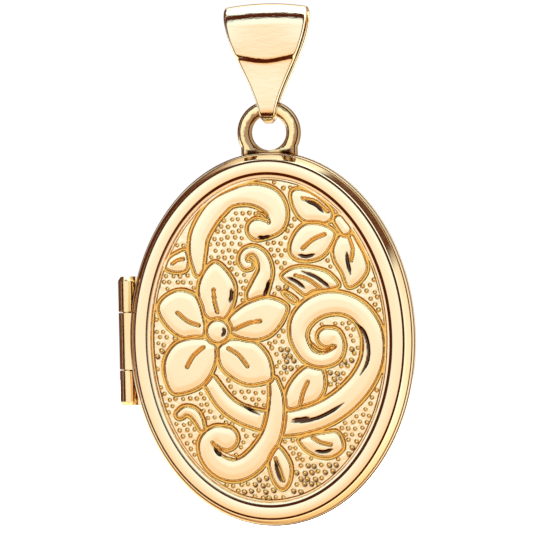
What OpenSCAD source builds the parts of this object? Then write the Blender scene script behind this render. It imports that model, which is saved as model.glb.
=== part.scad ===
// Oval photo locket: two hinged half shells with picture mounts inside, hung from a tapered bail.
// Millimetres. +Z is up as worn, the front cover faces -Y, and the origin is where the chain
// bears on the inside of the bail's top arch.

/* [Case] */
// Width of the oval outline at the parting line
case_w = 16.7; // [15:0.1:20]
// Height of the oval outline at the parting line
case_h = 21.7; // [20:0.1:28]
// Depth of each half shell, from the parting line to the crown of its rim
half_depth = 1.6; // [1.5:0.05:2.2]
// Thickness of the pressed sheet
sheet = 0.28; // [0.2:0.01:0.3]
// How far the outer foot of the raised rim lies inside the outline
side_flare = 0.56; // [0.45:0.01:0.7]
// Width of the raised rim
rim_w = 0.56; // [0.4:0.01:0.8]
// Width of the sunk line between the rim and the panel
moat_w = 0.3; // [0.2:0.01:0.5]
// How far the panel's middle stands proud of its edge
panel_dome = 0.2; // [0:0.01:0.4]

/* [Bezels and picture mounts] */
// How far the back bezel stands out of the back shell to guide the lid shut
bezel_lip = 0.35; // [0.2:0.01:0.4]
// Wall of a bezel
bezel_wall = 0.3; // [0.2:0.01:0.4]
// Width of the ledge that carries the picture
ledge_w = 0.4; // [0.2:0.05:0.8]
// Width of a picture frame's band
frame_w = 0.75; // [0.5:0.05:1.5]
// Thickness of a picture frame
frame_t = 0.25; // [0.15:0.01:0.3]
// Thickness of a clear window
window_t = 0.12; // [0.08:0.01:0.15]
// Thickness of a picture card
card_t = 0.15; // [0.08:0.01:0.2]

/* [Hinge] */
// Length of the whole hinge
hinge_len = 7.5; // [5:0.1:9]
// Length of the lid's knuckle, between the two back knuckles
lid_knuckle_len = 3.3; // [2:0.1:4]
// Outer diameter of a knuckle
knuckle_d = 1.0; // [0.8:0.02:1.1]
// Diameter of the hinge pin
pin_d = 0.5; // [0.4:0.01:0.6]
// How far the hinge line lies outside the case outline
hinge_out = 0.15; // [0.1:0.01:0.3]

/* [Ring and bail] */
// Thickness of the suspension ring's wire
ring_wire = 0.83; // [0.6:0.01:0.9]
// Diameter of the suspension ring's hole
ring_hole = 2.03; // [1.8:0.01:2.4]
// Metal left between the ring's hole and the case
ring_root = 0.1; // [0.1:0.01:0.3]
// Thickness of the bail's strap
strap = 0.3; // [0.2:0.01:0.35]
// Depth of the bail at its top arch, outside
bail_depth = 2.4; // [2.2:0.1:3.4]
// Width of the bail at its top
bail_top_w = 4.88; // [4:0.02:6]
// Width of the bail where it passes through the ring
bail_foot_w = 0.9; // [0.7:0.02:1.0]
// From the chain's bearing down to the middle of the ring's top wire
bail_drop = 5.75; // [5:0.05:8]

/* [Hidden] */
$fn = 64;

gold = [0.93, 0.73, 0.38];
rose_gold = [0.90, 0.68, 0.36];
card_white = [0.93, 0.91, 0.86];
clear = [0.85, 0.90, 0.92, 0.35];

facets = 72;          // flats round the oval
half_w = case_w / 2;
half_h = case_h / 2;

// Ring, bail and case are hung from the origin downwards.
wire_r = ring_wire / 2;
ring_r = ring_hole / 2 + wire_r;
ring_z = -bail_drop - ring_r;
case_z = ring_z - ring_hole / 2 - ring_root - half_h;

// The ring is soldered to the back shell, so the parting line lies just in front of its wire.
ring_gap = 0.035;
parting_y = -wire_r - ring_gap;

// The bail's lower loop turns round the wire, which is curved, so it needs room on both sides.
loop_in_r = 0.6;
arch_out_r = bail_depth / 2;
arch_in_r = arch_out_r - strap;
bail_bottom_z = -bail_drop - loop_in_r - strap;

// The ring's foot, and the round seat on the top of the case that it is hollowed to fit.
foot_w = 3.3;
seat_r = half_w * half_w / half_h;
seat_z = case_z + half_h - 0.1;

// Hinge line, and the space that each shell leaves for the other one's knuckles.
hinge_x = -half_w - hinge_out;
hinge_clear_r = knuckle_d / 2 + 0.04;
knuckle_gap = 0.05;
pin_clear = 0.02;
solder_gap = 0.01;
parting_gap = 0.02;
// Lower and upper end of each knuckle that belongs to the back half.
outer_knuckles = [[lid_knuckle_len / 2 + knuckle_gap, hinge_len / 2],
                  [-hinge_len / 2, -lid_knuckle_len / 2 - knuckle_gap]];

// Insets from the outline at which the shell's surface turns.
rim_out = side_flare;
rim_in = rim_out + rim_w;
moat_in = rim_in + moat_w;
moat_floor = half_depth - 0.16;
panel_edge = half_depth - 0.12;

// The picture is stacked on the ledge: card, window, frame, all measured from the parting line.
ledge_t = 0.15;
ledge_top = 0.95;
card_top = ledge_top - card_t;
window_top = card_top - window_t;
frame_top = window_top - frame_t;
bezel_out = 0.4;
bezel_in = bezel_out + bezel_wall;
mount_inset = bezel_in + 0.04;

// ---- shapes shared by both halves ----

// Outline of the oval, moved in by inset and then shrunk towards the middle by share.
function oval(inset, share = 1) = [for (i = [0 : facets - 1])
    let (a = 360 * i / facets)
    [(half_w - inset) * share * cos(a), (half_h - inset) * share * sin(a)]];

// One ring of points: the oval at that inset and share, at that depth from the parting line.
function oval_at(step) = [for (p = oval(step[0], step[2])) [p[0], p[1], step[1]]];

// Two triangles for each flat between ring a and ring b of a sweep.
function band_faces(a, b) = [for (i = [0 : facets - 1])
    let (j = (i + 1) % facets)
    each [[a * facets + i, b * facets + j, a * facets + j],
          [a * facets + i, b * facets + i, b * facets + j]]];

// A closed loop of [inset, depth, share] steps, taken round the oval.
module oval_loop(steps) {
    n = len(steps);
    polyhedron(points = [for (s = steps) each oval_at(s)],
        faces = [for (k = [0 : n - 1]) each band_faces(k, (k + 1) % n)]);
}

// A domed sheet: steps run from the middle of one side over the edge to the middle of the other.
module oval_sheet(steps, first_depth, last_depth) {
    n = len(steps);
    rings = [for (s = steps) each oval_at(s)];
    first = n * facets;
    last = first + 1;
    polyhedron(points = concat(rings, [[0, 0, first_depth], [0, 0, last_depth]]),
        faces = concat(
            [for (k = [0 : n - 2]) each band_faces(k, k + 1)],
            [for (i = [0 : facets - 1]) [first, i, (i + 1) % facets]],
            [for (i = [0 : facets - 1])
                [last, (n - 1) * facets + (i + 1) % facets, (n - 1) * facets + i]]));
}

module in_front_half() {
    translate([0, parting_y, case_z]) rotate([90, 0, 0]) children();
}

module in_back_half() {
    translate([0, parting_y, case_z]) mirror([0, 1, 0]) rotate([90, 0, 0]) children();
}

// A prism of the oval at that inset, from one depth to another.
module oval_plate(inset, from, to) {
    translate([0, 0, from]) linear_extrude(to - from) polygon(oval(inset));
}

// Outside of a shell, from the parting line over the rim to the edge of the panel.
function outer_steps(rise) = [
    [0, 0, 1],
    [0.02, 0.3, 1],
    [rim_out * 0.2, half_depth * 0.4, 1],
    [rim_out * 0.5, half_depth * 0.6, 1],
    [rim_out - 0.1, half_depth - 0.36, 1],
    [rim_out, half_depth - 0.25, 1],
    [rim_out + 0.05, half_depth - 0.1, 1],
    [rim_out + 0.15, half_depth - 0.02, 1],
    [rim_out + rim_w / 2, half_depth, 1],
    [rim_in - 0.15, half_depth - 0.02, 1],
    [rim_in - 0.02, half_depth - 0.1, 1],
    [rim_in + 0.03, moat_floor, 1],
    [moat_in - 0.05, moat_floor, 1],
    [moat_in, panel_edge, 1],
    [moat_in, panel_edge + rise * 0.44, 0.75],
    [moat_in, panel_edge + rise * 0.75, 0.5],
    [moat_in, panel_edge + rise * 0.94, 0.25]];

// Inside of a shell: plainer than the outside, one sheet thickness behind it.
function inner_steps(rise) = [
    [moat_in, panel_edge - sheet + rise * 0.75, 0.5],
    [moat_in, moat_floor - sheet, 1],
    [rim_in - 0.02, moat_floor - sheet + 0.02, 1],
    [rim_out + sheet + 0.02, half_depth - sheet - 0.14, 1],
    [rim_out * 0.6 + sheet, half_depth * 0.6, 1],
    [sheet + 0.04, 0.35, 1],
    [sheet, 0, 1]];

module cover_shell(rise) {
    outer = outer_steps(rise);
    edge_last = [for (k = [len(outer) - 1 : -1 : 0]) outer[k]];
    inner = inner_steps(rise);
    inner_out = [for (k = [len(inner) - 1 : -1 : 0]) inner[k]];
    oval_sheet(concat(edge_last, inner_out), panel_edge + rise, panel_edge - sheet + rise);
}

// The hinge's own room, cut out of both shells along the hinge line.
module hinge_room() {
    translate([hinge_x, parting_y, case_z])
        cylinder(r = hinge_clear_r, h = hinge_len + 2 * knuckle_gap, center = true);
}

// A bezel: a band inside the shell wall, from top to the underside of its ledge.
module bezel_band(top) {
    shoulder = 0.5;
    foot = ledge_top + ledge_t;
    oval_loop([
        [bezel_out, top, 1],
        [bezel_out + 0.01, shoulder, 1],
        [rim_out * 0.6 + sheet + 0.03, half_depth * 0.6, 1],
        [rim_out + sheet - 0.06, foot, 1],
        [bezel_in + ledge_w, foot, 1],
        [bezel_in + ledge_w, ledge_top, 1],
        [bezel_in, ledge_top, 1],
        [bezel_in, top, 1]]);
}

// A flat spring frame that snaps into a bezel, with a nick at its foot to lift it out by.
module picture_frame() {
    nick_w = 1.2;
    nick_h = 0.3;
    difference() {
        oval_plate(mount_inset, frame_top, window_top);
        oval_plate(mount_inset + frame_w, frame_top - 1, window_top + 1);
        translate([-nick_w / 2, -half_h + mount_inset + frame_w - nick_h, frame_top - 1])
            cube([nick_w, 1, 3]);
    }
}

module knuckle(from, to) {
    difference() {
        translate([hinge_x, parting_y, case_z + from]) cylinder(d = knuckle_d, h = to - from);
        translate([hinge_x, parting_y, case_z + from - 1])
            cylinder(d = pin_d + 2 * pin_clear, h = to - from + 2);
    }
}

// The block that a joint bearer fills, or with grow the notch that it leaves in the shell wall.
module bearer_block(from, to, side, grow) {
    reach = 1.6;
    thick = knuckle_d / 2 - parting_gap + grow;
    translate([hinge_x, parting_y + (side > 0 ? parting_gap - grow : -parting_gap - thick + grow),
            case_z + from - grow])
        cube([reach, thick, to - from + 2 * grow]);
}

// A strip let into the shell wall, which joins a knuckle to the shell; side is -1 for the lid.
module joint_bearer(from, to, side) {
    difference() {
        bearer_block(from, to, side, 0);
        translate([hinge_x, parting_y, case_z + from - 1])
            cylinder(r = knuckle_d / 2 + solder_gap, h = to - from + 2);
        translate([0, parting_y - 2, case_z]) rotate([-90, 0, 0])
            linear_extrude(4) polygon(oval(sheet + 0.06));
    }
}

// ---- bail ----

// Half the bail's width at height z: narrow at the ring, swelling to full width at the arch.
function bail_half_w(z) =
    let (u = min(1, max(0, (z - bail_bottom_z - 0.35) / (-bail_bottom_z - 0.35))))
    bail_foot_w / 2 + (bail_top_w - bail_foot_w) / 2 * pow(sin(90 * u), 1.6);

module bail_side(grow) {
    hull() {
        translate([0, -arch_in_r]) circle(r = arch_in_r + grow, $fn = 48);
        translate([0, -bail_drop]) circle(r = loop_in_r + grow, $fn = 48);
    }
}

module bail() {
    slices = 16;
    levels = [for (k = [0 : slices])
        bail_bottom_z - 0.01 + (strap - bail_bottom_z + 0.02) * k / slices];
    outline = concat(
        [for (z = levels) [bail_half_w(z), z]],
        [for (k = [slices : -1 : 0]) [-bail_half_w(levels[k]), levels[k]]]);
    color(gold) intersection() {
        rotate([90, 0, 90]) linear_extrude(bail_top_w + 1, center = true) difference() {
            bail_side(strap);
            bail_side(0);
        }
        rotate([90, 0, 0]) linear_extrude(bail_depth + 1, center = true) polygon(outline);
    }
}

// ---- back half, with the ring ----

// The ring's spread foot, hollowed to the case's top, or with grow the recess it is let into.
module ring_foot(grow) {
    foot_h = 0.85;
    foot_t = ring_wire - 0.04;
    difference() {
        translate([-foot_w / 2 - grow, -foot_t / 2 - grow, seat_z - 0.3])
            cube([foot_w + 2 * grow, foot_t + 2 * grow, foot_h]);
        translate([0, 0, seat_z - seat_r - grow]) rotate([90, 0, 0])
            cylinder(r = seat_r, h = 4, center = true);
    }
}

// A round wire ring on that foot.
module suspension_ring() {
    color(gold) difference() {
        union() {
            translate([0, 0, ring_z]) rotate([90, 0, 0]) rotate_extrude()
                translate([ring_r, 0]) circle(r = wire_r, $fn = 32);
            ring_foot(0);
        }
        translate([0, 0, ring_z]) rotate([90, 0, 0])
            cylinder(d = ring_hole + 0.02, h = 4, center = true);
        translate([0, 0, seat_z - seat_r]) rotate([90, 0, 0])
            cylinder(r = seat_r, h = 4, center = true);
    }
}

module back_cover() {
    color(gold) difference() {
        in_back_half() cover_shell(panel_dome);
        hinge_room();
        ring_foot(solder_gap);
        for (end = outer_knuckles) bearer_block(end[0], end[1], 1, solder_gap);
    }
}

module back_bezel() {
    color(rose_gold) in_back_half() bezel_band(-bezel_lip);
}

module back_picture_card() {
    color(card_white) in_back_half() oval_plate(mount_inset, card_top, ledge_top);
}

module back_window() {
    color(clear) in_back_half() oval_plate(mount_inset, window_top, card_top);
}

module back_picture_frame() {
    color(rose_gold) in_back_half() picture_frame();
}

module upper_hinge_knuckle() {
    color(gold) knuckle(outer_knuckles[0][0], outer_knuckles[0][1]);
}

module lower_hinge_knuckle() {
    color(gold) knuckle(outer_knuckles[1][0], outer_knuckles[1][1]);
}

module back_joint_bearers() {
    color(gold) for (end = outer_knuckles) joint_bearer(end[0], end[1], 1);
}

// The pin is filed flush with the outer knuckles.
module hinge_pin() {
    color(rose_gold) translate([hinge_x, parting_y, case_z])
        cylinder(d = pin_d, h = hinge_len, center = true);
}

// ---- front half, the lid ----

module front_cover() {
    color(gold) difference() {
        in_front_half() cover_shell(panel_dome);
        hinge_room();
        bearer_block(-lid_knuckle_len / 2, lid_knuckle_len / 2, -1, solder_gap);
    }
}

module front_bezel() {
    color(rose_gold) in_front_half() bezel_band(frame_top - 0.03);
}

module front_picture_card() {
    color(card_white) in_front_half() oval_plate(mount_inset, card_top, ledge_top);
}

module front_window() {
    color(clear) in_front_half() oval_plate(mount_inset, window_top, card_top);
}

module front_picture_frame() {
    color(rose_gold) in_front_half() picture_frame();
}

module middle_hinge_knuckle() {
    color(gold) knuckle(-lid_knuckle_len / 2, lid_knuckle_len / 2);
}

module front_joint_bearer() {
    color(gold) joint_bearer(-lid_knuckle_len / 2, lid_knuckle_len / 2, -1);
}

bail();
suspension_ring();
back_cover();
back_bezel();
back_picture_card();
back_window();
back_picture_frame();
upper_hinge_knuckle();
lower_hinge_knuckle();
back_joint_bearers();
hinge_pin();
front_cover();
front_bezel();
front_picture_card();
front_window();
front_picture_frame();
middle_hinge_knuckle();
front_joint_bearer();
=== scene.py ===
# %% [markdown]
# # Oval picture locket
# A locket is two shallow pressed shells that close on each other like a book, hung from a folded bail.
# The working model of it, with its sizes, joints and fits, is loaded first and never altered. Each visible
# piece is then modelled again at jeweller's quality in the same place, and rides on the same moving body.

# %% Load the working model
import bpy
import math
import random
import numpy as np
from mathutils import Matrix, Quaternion, Vector


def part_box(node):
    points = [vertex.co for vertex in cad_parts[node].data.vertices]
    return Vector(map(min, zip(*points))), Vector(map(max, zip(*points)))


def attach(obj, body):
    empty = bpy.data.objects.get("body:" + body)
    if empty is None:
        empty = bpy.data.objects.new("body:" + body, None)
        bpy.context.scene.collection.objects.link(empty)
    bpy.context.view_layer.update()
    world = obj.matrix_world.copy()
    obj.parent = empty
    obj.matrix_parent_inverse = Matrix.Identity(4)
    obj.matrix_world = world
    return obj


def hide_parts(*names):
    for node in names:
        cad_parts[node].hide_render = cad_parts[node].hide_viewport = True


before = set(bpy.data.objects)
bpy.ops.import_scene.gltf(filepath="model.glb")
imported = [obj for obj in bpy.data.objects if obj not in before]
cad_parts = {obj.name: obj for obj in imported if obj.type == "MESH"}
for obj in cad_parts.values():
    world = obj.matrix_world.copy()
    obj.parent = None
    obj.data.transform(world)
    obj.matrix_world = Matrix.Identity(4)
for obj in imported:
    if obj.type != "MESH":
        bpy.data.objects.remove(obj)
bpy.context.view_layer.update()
MM = 0.001

# %% [markdown]
# The case is an oval that is cut in two at the parting line. Everything on it is measured as an inset from
# that outline and a depth from that line, so those two numbers place each step of each pressed piece.

# %% Measure the case
back_low, back_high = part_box("back_cover")
front_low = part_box("front_cover")[0]
half_w = back_high.x
half_h = (back_high.z - back_low.z) / 2
case_z = (back_high.z + back_low.z) / 2
parting_y = back_low.y
crown_depth = parting_y - front_low.y
print("case half width, half height, crown depth (mm):",
      [round(v / MM, 3) for v in (half_w, half_h, crown_depth)])

# %% [markdown]
# ## The camera
# It stands a little to the right of the locket and a touch above it, far off with a long lens, as for a
# catalogue, so the oval isn't distorted and the side wall shows as a thin crescent on the right.

# %% Make the camera
view_turn = math.radians(8.5)
view_rise = math.radians(1.5)
view_roll = math.radians(-1.2)
view_distance = 0.300
view_width = 0.0309
aim_left, aim_up = 0.34, 4.2
to_camera = Vector((math.sin(view_turn) * math.cos(view_rise),
                    -math.cos(view_turn) * math.cos(view_rise), math.sin(view_rise)))
camera_data = bpy.data.cameras.new("camera")
camera_data.sensor_width = 36
camera_data.lens = camera_data.sensor_width * view_distance / view_width
camera_data.clip_start, camera_data.clip_end = 0.01, 5
camera = bpy.data.objects.new("camera", camera_data)
bpy.context.scene.collection.objects.link(camera)
camera.rotation_mode = "QUATERNION"
camera.rotation_quaternion = (-to_camera).to_track_quat("-Z", "Y")
camera.rotation_quaternion.rotate(Quaternion(to_camera, view_roll))
screen_right = camera.rotation_quaternion @ Vector((1, 0, 0))
screen_up = camera.rotation_quaternion @ Vector((0, 1, 0))
case_centre = Vector((0, parting_y, case_z))
frame_centre = case_centre - screen_right * aim_left * MM + screen_up * aim_up * MM
camera.location = frame_centre + to_camera * view_distance
bpy.context.scene.camera = camera

# %% [markdown]
# ## The light
# Polished gold has no colour of its own to show: it shows the room. The room is a white tent. Its front
# wall is warm at the foot and brighter and cooler towards the top, and its side walls are brighter still. A
# dark gap runs round between the front wall and the sides, which draws the thin brown lines along every
# turned edge, and a narrower one runs round near the back. Two dark flags stand behind, one on the left and
# one high on the right, for the walls of the case, and the table below glows warm. The tent is painted on
# the world, by direction, because a mirror finish needs nothing else. Two soft panels light what isn't metal.

# %% Paint the tent
def tent_ramp(tree, source, *stops):
    """Brightness by position, where stops are (position, brightness) pairs. What is dark is also brown."""
    ramp = tree.nodes.new("ShaderNodeValToRGB")
    elements = ramp.color_ramp.elements
    while len(elements) < len(stops):
        elements.new(0.5)
    for element, (position, brightness) in zip(elements, stops):
        element.position = position
        element.color = (brightness ** 0.62, brightness, brightness ** 1.25, 1)
    tree.links.new(source, ramp.inputs["Fac"])
    return ramp.outputs["Color"]


def scale_between(tree, source, low, high, to_low=0.0, to_high=1.0):
    scale = tree.nodes.new("ShaderNodeMapRange")
    for name, value in (("From Min", low), ("From Max", high), ("To Min", to_low), ("To Max", to_high)):
        scale.inputs[name].default_value = value
    tree.links.new(source, scale.inputs["Value"])
    return scale.outputs["Result"]


def mix_colours(tree, factor, one, other, kind="MIX"):
    """Blends two colours or sockets by a factor, which is a number or a socket."""
    blend = tree.nodes.new("ShaderNodeMix")
    blend.data_type = "RGBA"
    blend.blend_type = kind
    for socket, value in ((blend.inputs["Factor"], factor), (blend.inputs[6], one), (blend.inputs[7], other)):
        if isinstance(value, bpy.types.NodeSocket):
            tree.links.new(value, socket)
        else:
            socket.default_value = value
    return blend.outputs[2]


def tent_times(tree, one, other):
    return mix_colours(tree, 1.0, one, other, "MULTIPLY")


GAP_DARK = 0.015
BACK_GAP_DARK = 0.10
FLAG_BROWN = (0.15, 0.06, 0.03, 1)
TABLE_GLOW = (1.0, 0.82, 0.58, 1)
WHITE = (1, 1, 1, 1)

world = bpy.data.worlds.new("studio")
bpy.context.scene.world = world
world.use_nodes = True
sky = world.node_tree
split = sky.nodes.new("ShaderNodeSeparateXYZ")
sky.links.new(sky.nodes.new("ShaderNodeTexCoord").outputs["Generated"], split.inputs["Vector"])
left_to_right = scale_between(sky, split.outputs["X"], -1, 1)
front_to_back = scale_between(sky, split.outputs["Y"], -1, 1)
bottom_to_top = scale_between(sky, split.outputs["Z"], -1, 1)
walls = tent_ramp(sky, front_to_back, (0.0, 1.0), (0.085, 1.0), (0.11, GAP_DARK), (0.30, GAP_DARK),
                  (0.345, 1.0), (0.93, 1.0), (0.95, BACK_GAP_DARK), (0.975, BACK_GAP_DARK), (0.985, 1.0))
sides = tent_ramp(sky, bottom_to_top, (0.0, 1.7), (0.32, 1.8), (0.42, 1.45), (0.60, 1.3), (0.76, 1.7),
                  (0.93, 2.2))
front_glow = mix_colours(sky, scale_between(sky, split.outputs["Z"], -0.24, 0.16), (1.05, 0.87, 0.74, 1),
                         (1.05, 1.28, 1.50, 1))
is_side = tent_ramp(sky, front_to_back, (0.0, 0.0), (0.20, 0.0), (0.28, 1.0), (0.93, 1.0), (0.97, 0.0))
tent_light = tent_times(sky, walls, mix_colours(sky, is_side, front_glow, sides))
table_glow = mix_colours(sky, tent_ramp(sky, bottom_to_top, (0.24, 1.0), (0.36, 0.0)), WHITE, TABLE_GLOW)
flags = [
    (tent_ramp(sky, left_to_right, (0.29, 1.0), (0.35, 0.0)),
     tent_ramp(sky, front_to_back, (0.32, 0.0), (0.36, 1.0), (0.97, 1.0), (0.985, 0.0)),
     tent_ramp(sky, bottom_to_top, (0.36, 0.0), (0.46, 1.0), (0.93, 1.0), (0.95, 0.0))),
    (tent_ramp(sky, left_to_right, (0.59, 0.0), (0.63, 1.0)),
     tent_ramp(sky, front_to_back, (0.80, 0.0), (0.83, 1.0), (0.90, 1.0), (0.92, 0.0)),
     tent_ramp(sky, bottom_to_top, (0.60, 0.0), (0.64, 1.0), (0.90, 1.0), (0.93, 0.0)))]
light = tent_times(sky, tent_light, table_glow)
for across, deep, high in flags:
    light = mix_colours(sky, tent_times(sky, tent_times(sky, across, deep), high), light, FLAG_BROWN)
tent = sky.nodes["Background"]
sky.links.new(light, tent.inputs["Color"])
backdrop = sky.nodes.new("ShaderNodeBackground")
backdrop.inputs["Color"].default_value = WHITE
choose = sky.nodes.new("ShaderNodeMixShader")
sky.links.new(sky.nodes.new("ShaderNodeLightPath").outputs["Is Camera Ray"], choose.inputs["Fac"])
sky.links.new(tent.outputs["Background"], choose.inputs[1])
sky.links.new(backdrop.outputs["Background"], choose.inputs[2])
sky.links.new(choose.outputs["Shader"], sky.nodes["World Output"].inputs["Surface"])
bpy.context.scene.view_settings.view_transform = "Standard"


# %% Add two soft panels
def light_panel(name, place, size, radiance):
    """A square soft panel at place that faces the locket and is as bright as radiance."""
    data = bpy.data.lights.new(name, "AREA")
    data.shape = "SQUARE"
    data.size = size
    data.energy = radiance * math.pi * size * size
    panel = bpy.data.objects.new(name, data)
    bpy.context.scene.collection.objects.link(panel)
    panel.location = place
    panel.rotation_mode = "QUATERNION"
    panel.rotation_quaternion = (case_centre - Vector(place)).to_track_quat("-Z", "Y")
    panel.visible_glossy = False
    return panel


light_panel("front_panel", (0.03, -0.50, 0.05), 0.5, 1.0)
light_panel("back_panel", (0.0, 0.50, 0.08), 0.5, 1.0)

# %% [markdown]
# The floor is a pale lit table well below the hanging locket, so that nothing casts a hard edge on it.

# %% Make the floor
bpy.ops.object.select_all(action="DESELECT")
bpy.ops.mesh.primitive_plane_add(size=1.6, location=(0, 0, -0.06))
floor = bpy.context.object
floor.name = "floor"
floor_finish = bpy.data.materials.new("pale_table")
floor_finish.use_nodes = True
floor_shader = floor_finish.node_tree.nodes["Principled BSDF"]
floor_shader.inputs["Base Color"].default_value = (0.9, 0.9, 0.9, 1)
floor_shader.inputs["Roughness"].default_value = 0.8
floor_shader.inputs["Emission Color"].default_value = WHITE
floor_shader.inputs["Emission Strength"].default_value = 1.2
floor.data.materials.append(floor_finish)
floor.visible_glossy = False

# %% [markdown]
# ## The finishes
# All the metal is one alloy of yellow gold. What differs is how it was left: buffed to a mirror, turned
# satin in the cut lines, or drawn and lightly polished on the hinge. Each finish gets buffing marks in
# its roughness and bump, and a slow drift of colour.

# %% Helpers for the finishes
def add_node(tree, kind, **values):
    node = tree.nodes.new(kind)
    for key, value in values.items():
        if key in node.inputs:
            node.inputs[key].default_value = value
        else:
            setattr(node, key, value)
    return node


def colour_ramp(tree, source, low, high, low_at=0.3, high_at=0.7):
    ramp = tree.nodes.new("ShaderNodeValToRGB")
    ramp.color_ramp.elements[0].position = low_at
    ramp.color_ramp.elements[0].color = low
    ramp.color_ramp.elements[1].position = high_at
    ramp.color_ramp.elements[1].color = high
    tree.links.new(source, ramp.inputs["Fac"])
    return ramp.outputs["Color"]


def grey(value):
    return (value, value, value, 1)


def blend_in(tree, socket, mask, value):
    """Mixes a value into whatever feeds a socket, as much as the mask says."""
    tree.links.new(mix_colours(tree, mask, socket.links[0].from_socket, value), socket)


def new_finish(name):
    """A new material, with its node tree, its shader and the place on the piece."""
    finish = bpy.data.materials.new(name)
    finish.use_nodes = True
    tree = finish.node_tree
    return finish, tree, tree.nodes["Principled BSDF"], tree.nodes.new("ShaderNodeTexCoord").outputs["Object"]


def add_noise(tree, place, **values):
    noise = add_node(tree, "ShaderNodeTexNoise", **values)
    tree.links.new(place, noise.inputs["Vector"])
    return noise.outputs["Fac"]


def drawn_out(tree, place, scale, turn):
    """Stretches and turns the place, so that the marks made from it run one way."""
    stretch = add_node(tree, "ShaderNodeMapping", Scale=scale, Rotation=turn)
    tree.links.new(place, stretch.inputs["Vector"])
    return stretch.outputs["Vector"]


def press_marks(tree, shader, marks, strength, depth):
    """Lets the marks stand in the surface, to a depth in mm."""
    bump = add_node(tree, "ShaderNodeBump", Strength=strength, Distance=depth * MM)
    tree.links.new(marks, bump.inputs["Height"])
    tree.links.new(bump.outputs["Normal"], shader.inputs["Normal"])


EDGE_TINT = (0.60, 0.36, 0.24, 1)


def gold_finish(name, colour, shade, rough_low, rough_high, scratch, grain_size, mark_depth=0.02):
    """A metal whose colour drifts between two tones, with fine marks in its gloss and surface."""
    finish, tree, shader, place = new_finish(name)
    shader.inputs["Metallic"].default_value = 1.0
    shader.inputs["Specular Tint"].default_value = EDGE_TINT
    drift = add_noise(tree, place, Scale=260.0, Detail=3.0)
    tree.links.new(colour_ramp(tree, drift, (*shade, 1), (*colour, 1)), shader.inputs["Base Color"])
    marks = add_noise(tree, drawn_out(tree, place, (1.0, 0.6, 3.5), (0.2, 0.5, 0.3)), Scale=grain_size,
                      Detail=6.0, Roughness=0.65)
    tree.links.new(colour_ramp(tree, marks, grey(rough_low), grey(rough_high)), shader.inputs["Roughness"])
    press_marks(tree, shader, marks, scratch, mark_depth)
    return finish


# %% Mix the metals
polished_gold = gold_finish("polished_gold", (1.0, 0.80, 0.50), (0.98, 0.77, 0.46), 0.06, 0.13, 0.05, 2600.0)
inner_gold = gold_finish("inner_gold", (0.96, 0.75, 0.45), (0.92, 0.69, 0.38), 0.14, 0.28, 0.12, 4200.0)
hinge_gold = gold_finish("hinge_gold", (1.0, 0.79, 0.46), (0.97, 0.72, 0.37), 0.08, 0.20, 0.10, 5200.0)
pin_gold = gold_finish("pin_gold", (0.92, 0.68, 0.36), (0.84, 0.58, 0.28), 0.16, 0.34, 0.22, 6500.0)
bail_gold = gold_finish("bail_gold", (1.0, 0.81, 0.53), (0.99, 0.78, 0.48), 0.05, 0.12, 0.3, 1300.0,
                        mark_depth=0.045)
cast_gold = gold_finish("cast_gold", (1.0, 0.80, 0.44), (1.0, 0.74, 0.36), 0.06, 0.13, 0.5, 900.0,
                        mark_depth=0.05)

# %% [markdown]
# ## Pressed ovals
# A shell or a bezel is one section carried round the oval. By hand that is a circle, scaled to the oval,
# then extruded and resized step by step. A lathe can't do it, because the oval isn't round.

# %% Helpers for pressed ovals
OVAL_POINTS = 256


def start_clean():
    """Leaves every object unselected and out of edit mode, so that an operator acts on its own piece only."""
    if bpy.context.object and bpy.context.object.mode != "OBJECT":
        bpy.ops.object.mode_set(mode="OBJECT")
    bpy.ops.object.select_all(action="DESELECT")


def face_outwards(solid):
    """Turns every face of a closed solid outwards, which a cut relies on."""
    start_clean()
    bpy.context.view_layer.objects.active = solid
    solid.select_set(True)
    bpy.ops.object.mode_set(mode="EDIT")
    bpy.ops.mesh.select_all(action="SELECT")
    bpy.ops.mesh.normals_make_consistent(inside=False)
    bpy.ops.object.mode_set(mode="OBJECT")


def finish_piece(piece, name, body, finish, replaced=(), smooth_angle=32):
    """Names a piece, points its faces outwards, shades it and hangs it on its body."""
    piece.name = name
    piece.data.name = name
    face_outwards(piece)
    bpy.ops.object.shade_smooth_by_angle(angle=math.radians(smooth_angle))
    piece.data.materials.clear()
    piece.data.materials.append(finish)
    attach(piece, body)
    if replaced:
        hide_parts(*replaced)
    print(name, len(piece.data.polygons), "faces")
    return piece


def oval_step(inset, depth, share=1.0):
    """Half width, half height and depth of one step, shrunk towards the middle by share."""
    return (half_w - inset * MM) * share, (half_h - inset * MM) * share, depth * MM


def close_up(closed_band):
    """Joins the last step to the first, or else caps both ends, and hands back the piece."""
    bpy.ops.mesh.select_all(action="SELECT")
    if closed_band:
        bpy.ops.mesh.remove_doubles(threshold=1e-7)
    else:
        bpy.ops.mesh.fill_holes(sides=0)
    bpy.ops.object.mode_set(mode="OBJECT")
    return bpy.context.object


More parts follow.
